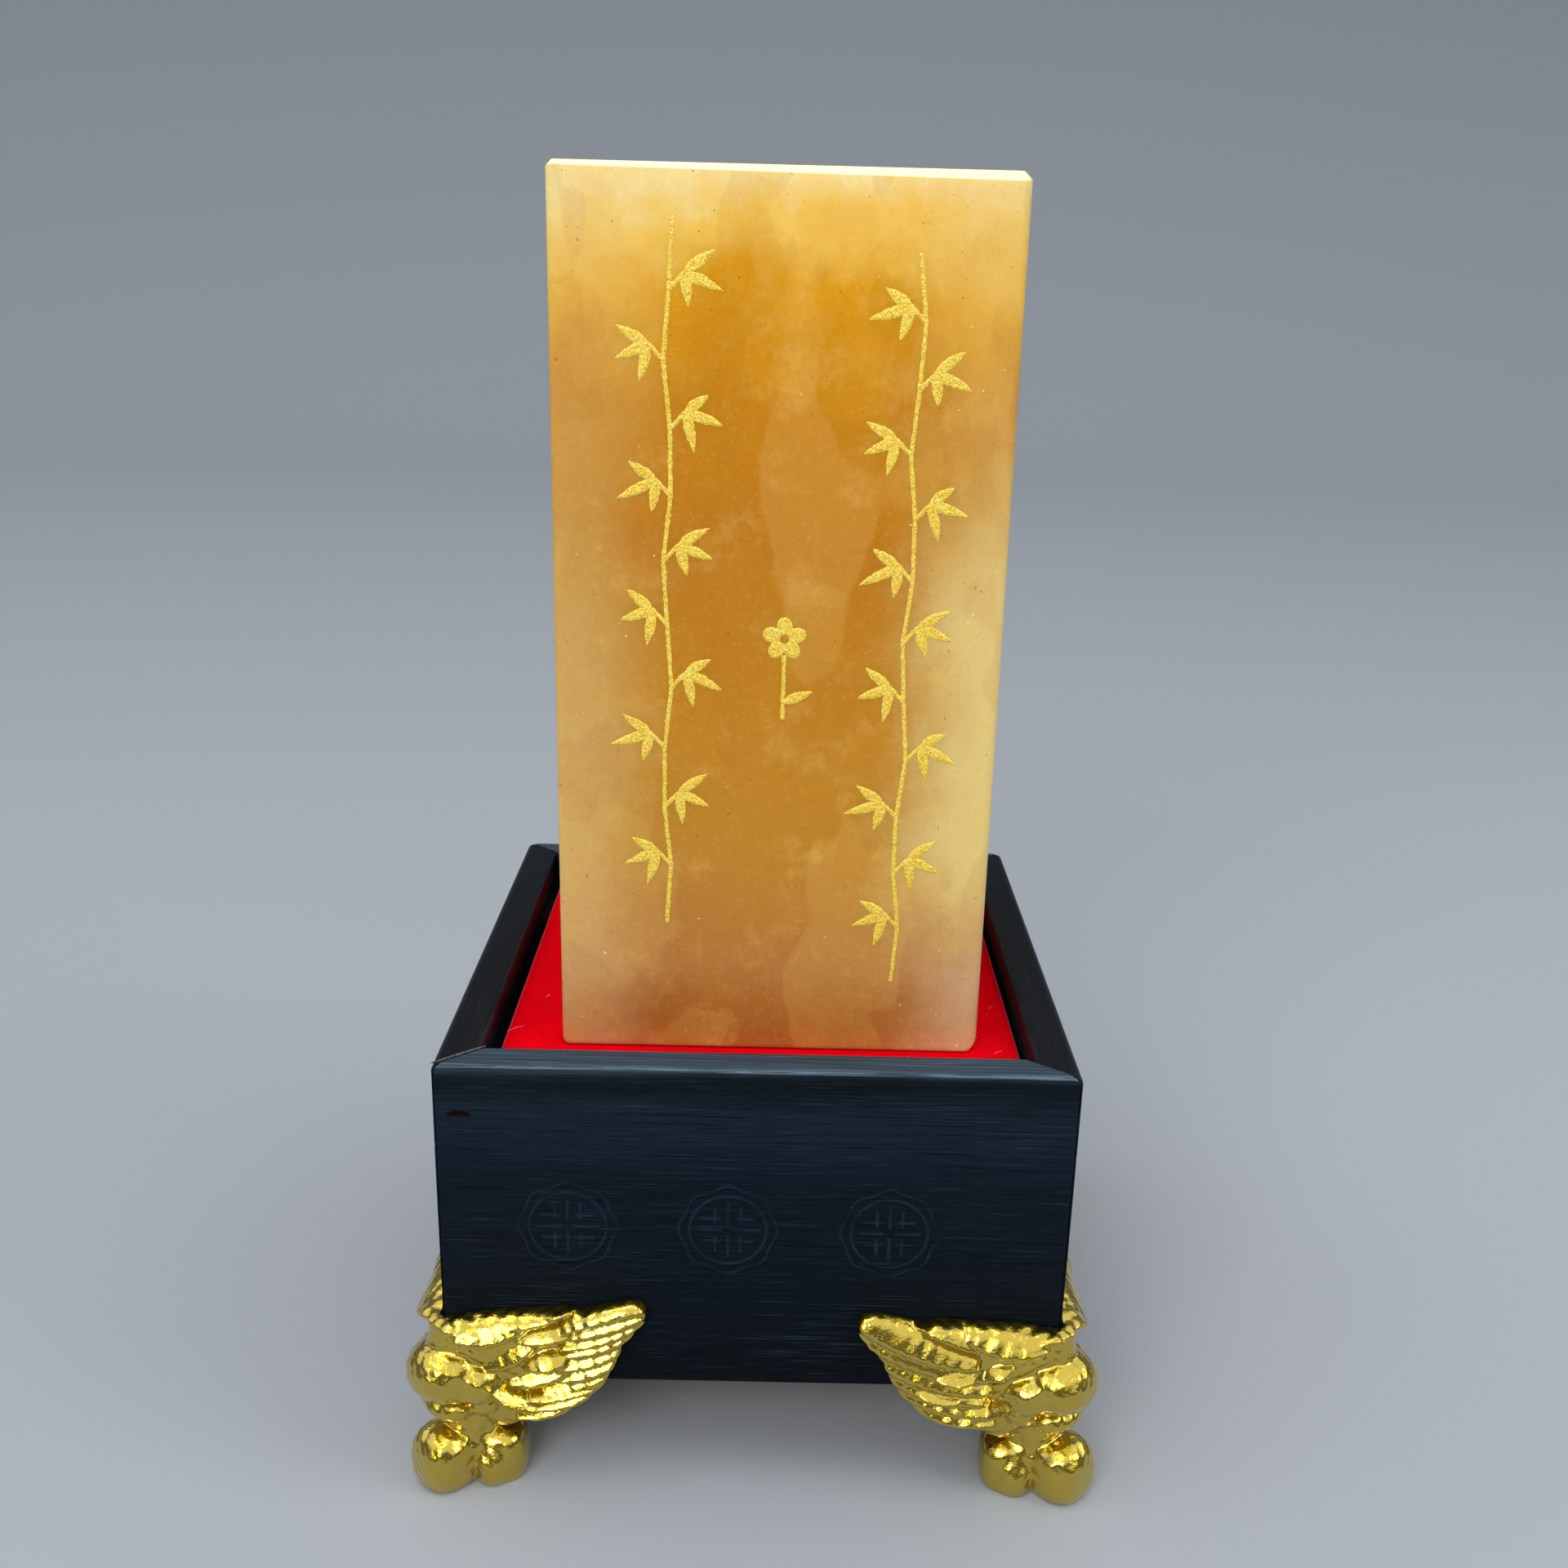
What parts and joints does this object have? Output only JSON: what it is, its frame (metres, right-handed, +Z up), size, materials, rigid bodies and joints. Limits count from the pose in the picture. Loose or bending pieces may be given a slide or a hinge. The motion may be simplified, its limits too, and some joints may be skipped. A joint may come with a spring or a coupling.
{
  "type": "seal stamp",
  "caption": "Tall square stone seal stamp with gilt bamboo inlay, standing on a black wooden display base with gilt winged paw feet.",
  "frame": {"origin": "on the ground, under the middle of the base", "axes": "+Z up, -Y towards the engraved front face, +X to the right of someone who faces it"},
  "size_m": [0.0832, 0.0832, 0.1525],
  "materials": {
    "ebonised": "black stained wood, satin",
    "plywood": "raw",
    "flock": "red flock",
    "jade": "polished, slightly translucent",
    "gilt": "gold paint in engraved lines",
    "gold": "polished gold plate on a casting",
    "steel": "plain"
  },
  "bodies": {
    "base": {"front_wall": "ebonised", "right_wall": "ebonised", "back_wall": "ebonised", "left_wall": "ebonised", "front_left_post": "plywood", "front_right_post": "plywood", "back_left_post": "plywood", "back_right_post": "plywood", "floor_panel": "plywood", "front_ledger": "plywood", "right_ledger": "plywood", "back_ledger": "plywood", "left_ledger": "plywood", "platform_board": "plywood", "platform_flock": "flock", "front_left_foot": "gold", "front_right_foot": "gold", "back_left_foot": "gold", "back_right_foot": "gold", "front_left_screw": "steel", "front_right_screw": "steel", "back_left_screw": "steel", "back_right_screw": "steel"},
    "stamp": {"stamp_block": "jade", "left_gilt_band": "gilt", "right_gilt_band": "gilt", "centre_gilt_motif": "gilt"}
  },
  "joints": [
    {"name": "stamp_lift", "type": "slide", "parent": "base", "child": "stamp", "axis": [0, 0, 1], "range_m": [0, 0.06]}
  ]
}
